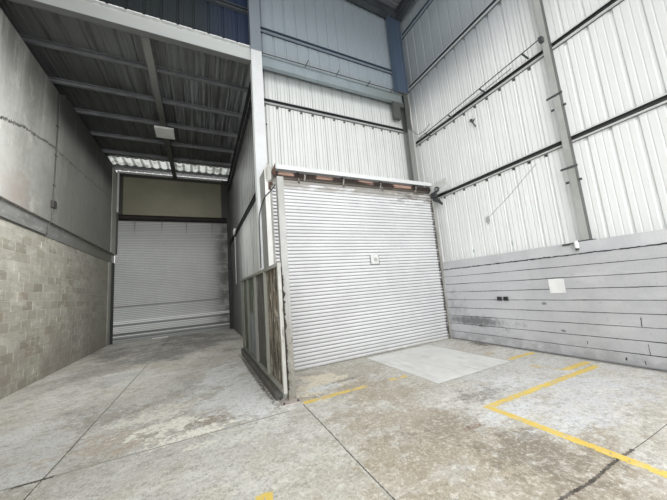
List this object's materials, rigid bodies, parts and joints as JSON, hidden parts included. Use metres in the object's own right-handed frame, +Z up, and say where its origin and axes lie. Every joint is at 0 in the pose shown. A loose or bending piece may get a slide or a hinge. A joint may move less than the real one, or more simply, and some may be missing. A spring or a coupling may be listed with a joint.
{
  "type": "factory loading bay section",
  "caption": "Open-fronted end of a factory hall with a lower loading lane, slatted roller shutters, block walls, ribbed sheeting and a steel portal frame.",
  "frame": {"origin": "centre of the footprint's bounding box, at the underside of the floor slab", "axes": "+Y from the open front of the hall into the lane, +X towards the painted block wall, +Z up"},
  "size_m": [9.8932, 16.28, 10.9312],
  "materials": {
    "bare_block": "bare concrete blockwork",
    "beige_panel": "beige coated steel panel",
    "dark_sheet": "dark slate coated steel sheet",
    "dark_steel": "dark grey paint",
    "dirty_steel": "dirty white paint over steel",
    "floor_concrete": "worn trowelled concrete",
    "grey_beam": "painted concrete beam",
    "grey_sheet": "grey coated steel sheet",
    "grey_shutter": "grey baked enamel on steel slats",
    "grey_steel": "pale grey paint",
    "lamp": "opal cover",
    "painted_block": "grey masonry paint",
    "patch_concrete": "lighter recast concrete",
    "plaster": "stained cement plaster",
    "roof_sheet": "dull grey coated steel sheet",
    "rusty_steel": "rusted mild steel",
    "screen_sheet": "rust-stained corrugated sheet",
    "white_sheet": "off-white coated steel sheet",
    "white_shutter": "white baked enamel on steel slats",
    "white_steel": "white gloss paint, worn"
  },
  "bodies": {
    "root": {"floor_slab_hall": "floor_concrete", "floor_slab_lane": "floor_concrete", "floor_patch": "patch_concrete", "left_block_wall": "bare_block", "left_ring_beam": "grey_beam", "left_upper_wall": "plaster", "left_high_sheeting": "grey_sheet", "left_high_girts": "dark_steel", "left_columns": "grey_steel", "lane_wall_fascia": "dark_steel", "right_block_wall": "painted_block", "right_ring_beam": "grey_beam", "right_sheeting": "white_sheet", "right_girts": "grey_steel", "column_right_front": "white_steel", "column_right_mid": "white_steel", "column_corner": "grey_steel", "column_centre": "white_steel", "tie_beam": "grey_steel", "lane_eaves_beam": "grey_steel", "end_wall_sheeting": "white_sheet", "end_wall_girts": "grey_steel", "high_wall_sheeting": "dark_sheet", "high_wall_girts": "dark_steel", "rafter_front": "dark_steel", "rafter_mid": "dark_steel", "rafter_end": "dark_steel", "hall_purlins": "dark_steel", "eaves_beams": "dark_steel", "hall_roof_left": "roof_sheet", "hall_roof_right": "roof_sheet", "ridge_cap": "roof_sheet", "lane_side_sheeting": "grey_sheet", "lane_side_girts": "dark_steel", "lane_rafter": "dark_steel", "lane_purlins": "grey_steel", "lane_roof_sheeting": "roof_sheet", "lane_end_panel": "beige_panel", "lane_end_frame": "white_steel", "far_shutter_post": "dark_steel", "far_shutter_curtain": "grey_shutter", "far_shutter_barrel": "rusty_steel", "far_shutter_guides": "dark_steel", "lane_lamp": "lamp", "near_shutter_curtain": "white_shutter", "near_shutter_barrel": "rusty_steel", "near_shutter_jamb": "dirty_steel", "near_shutter_guides": "dirty_steel", "near_shutter_hood": "white_steel", "near_shutter_end_plates": "dirty_steel", "guard_post": "dirty_steel", "guard_screen_frame": "dirty_steel", "guard_screen_sheets": "screen_sheet"}
  },
  "joints": []
}
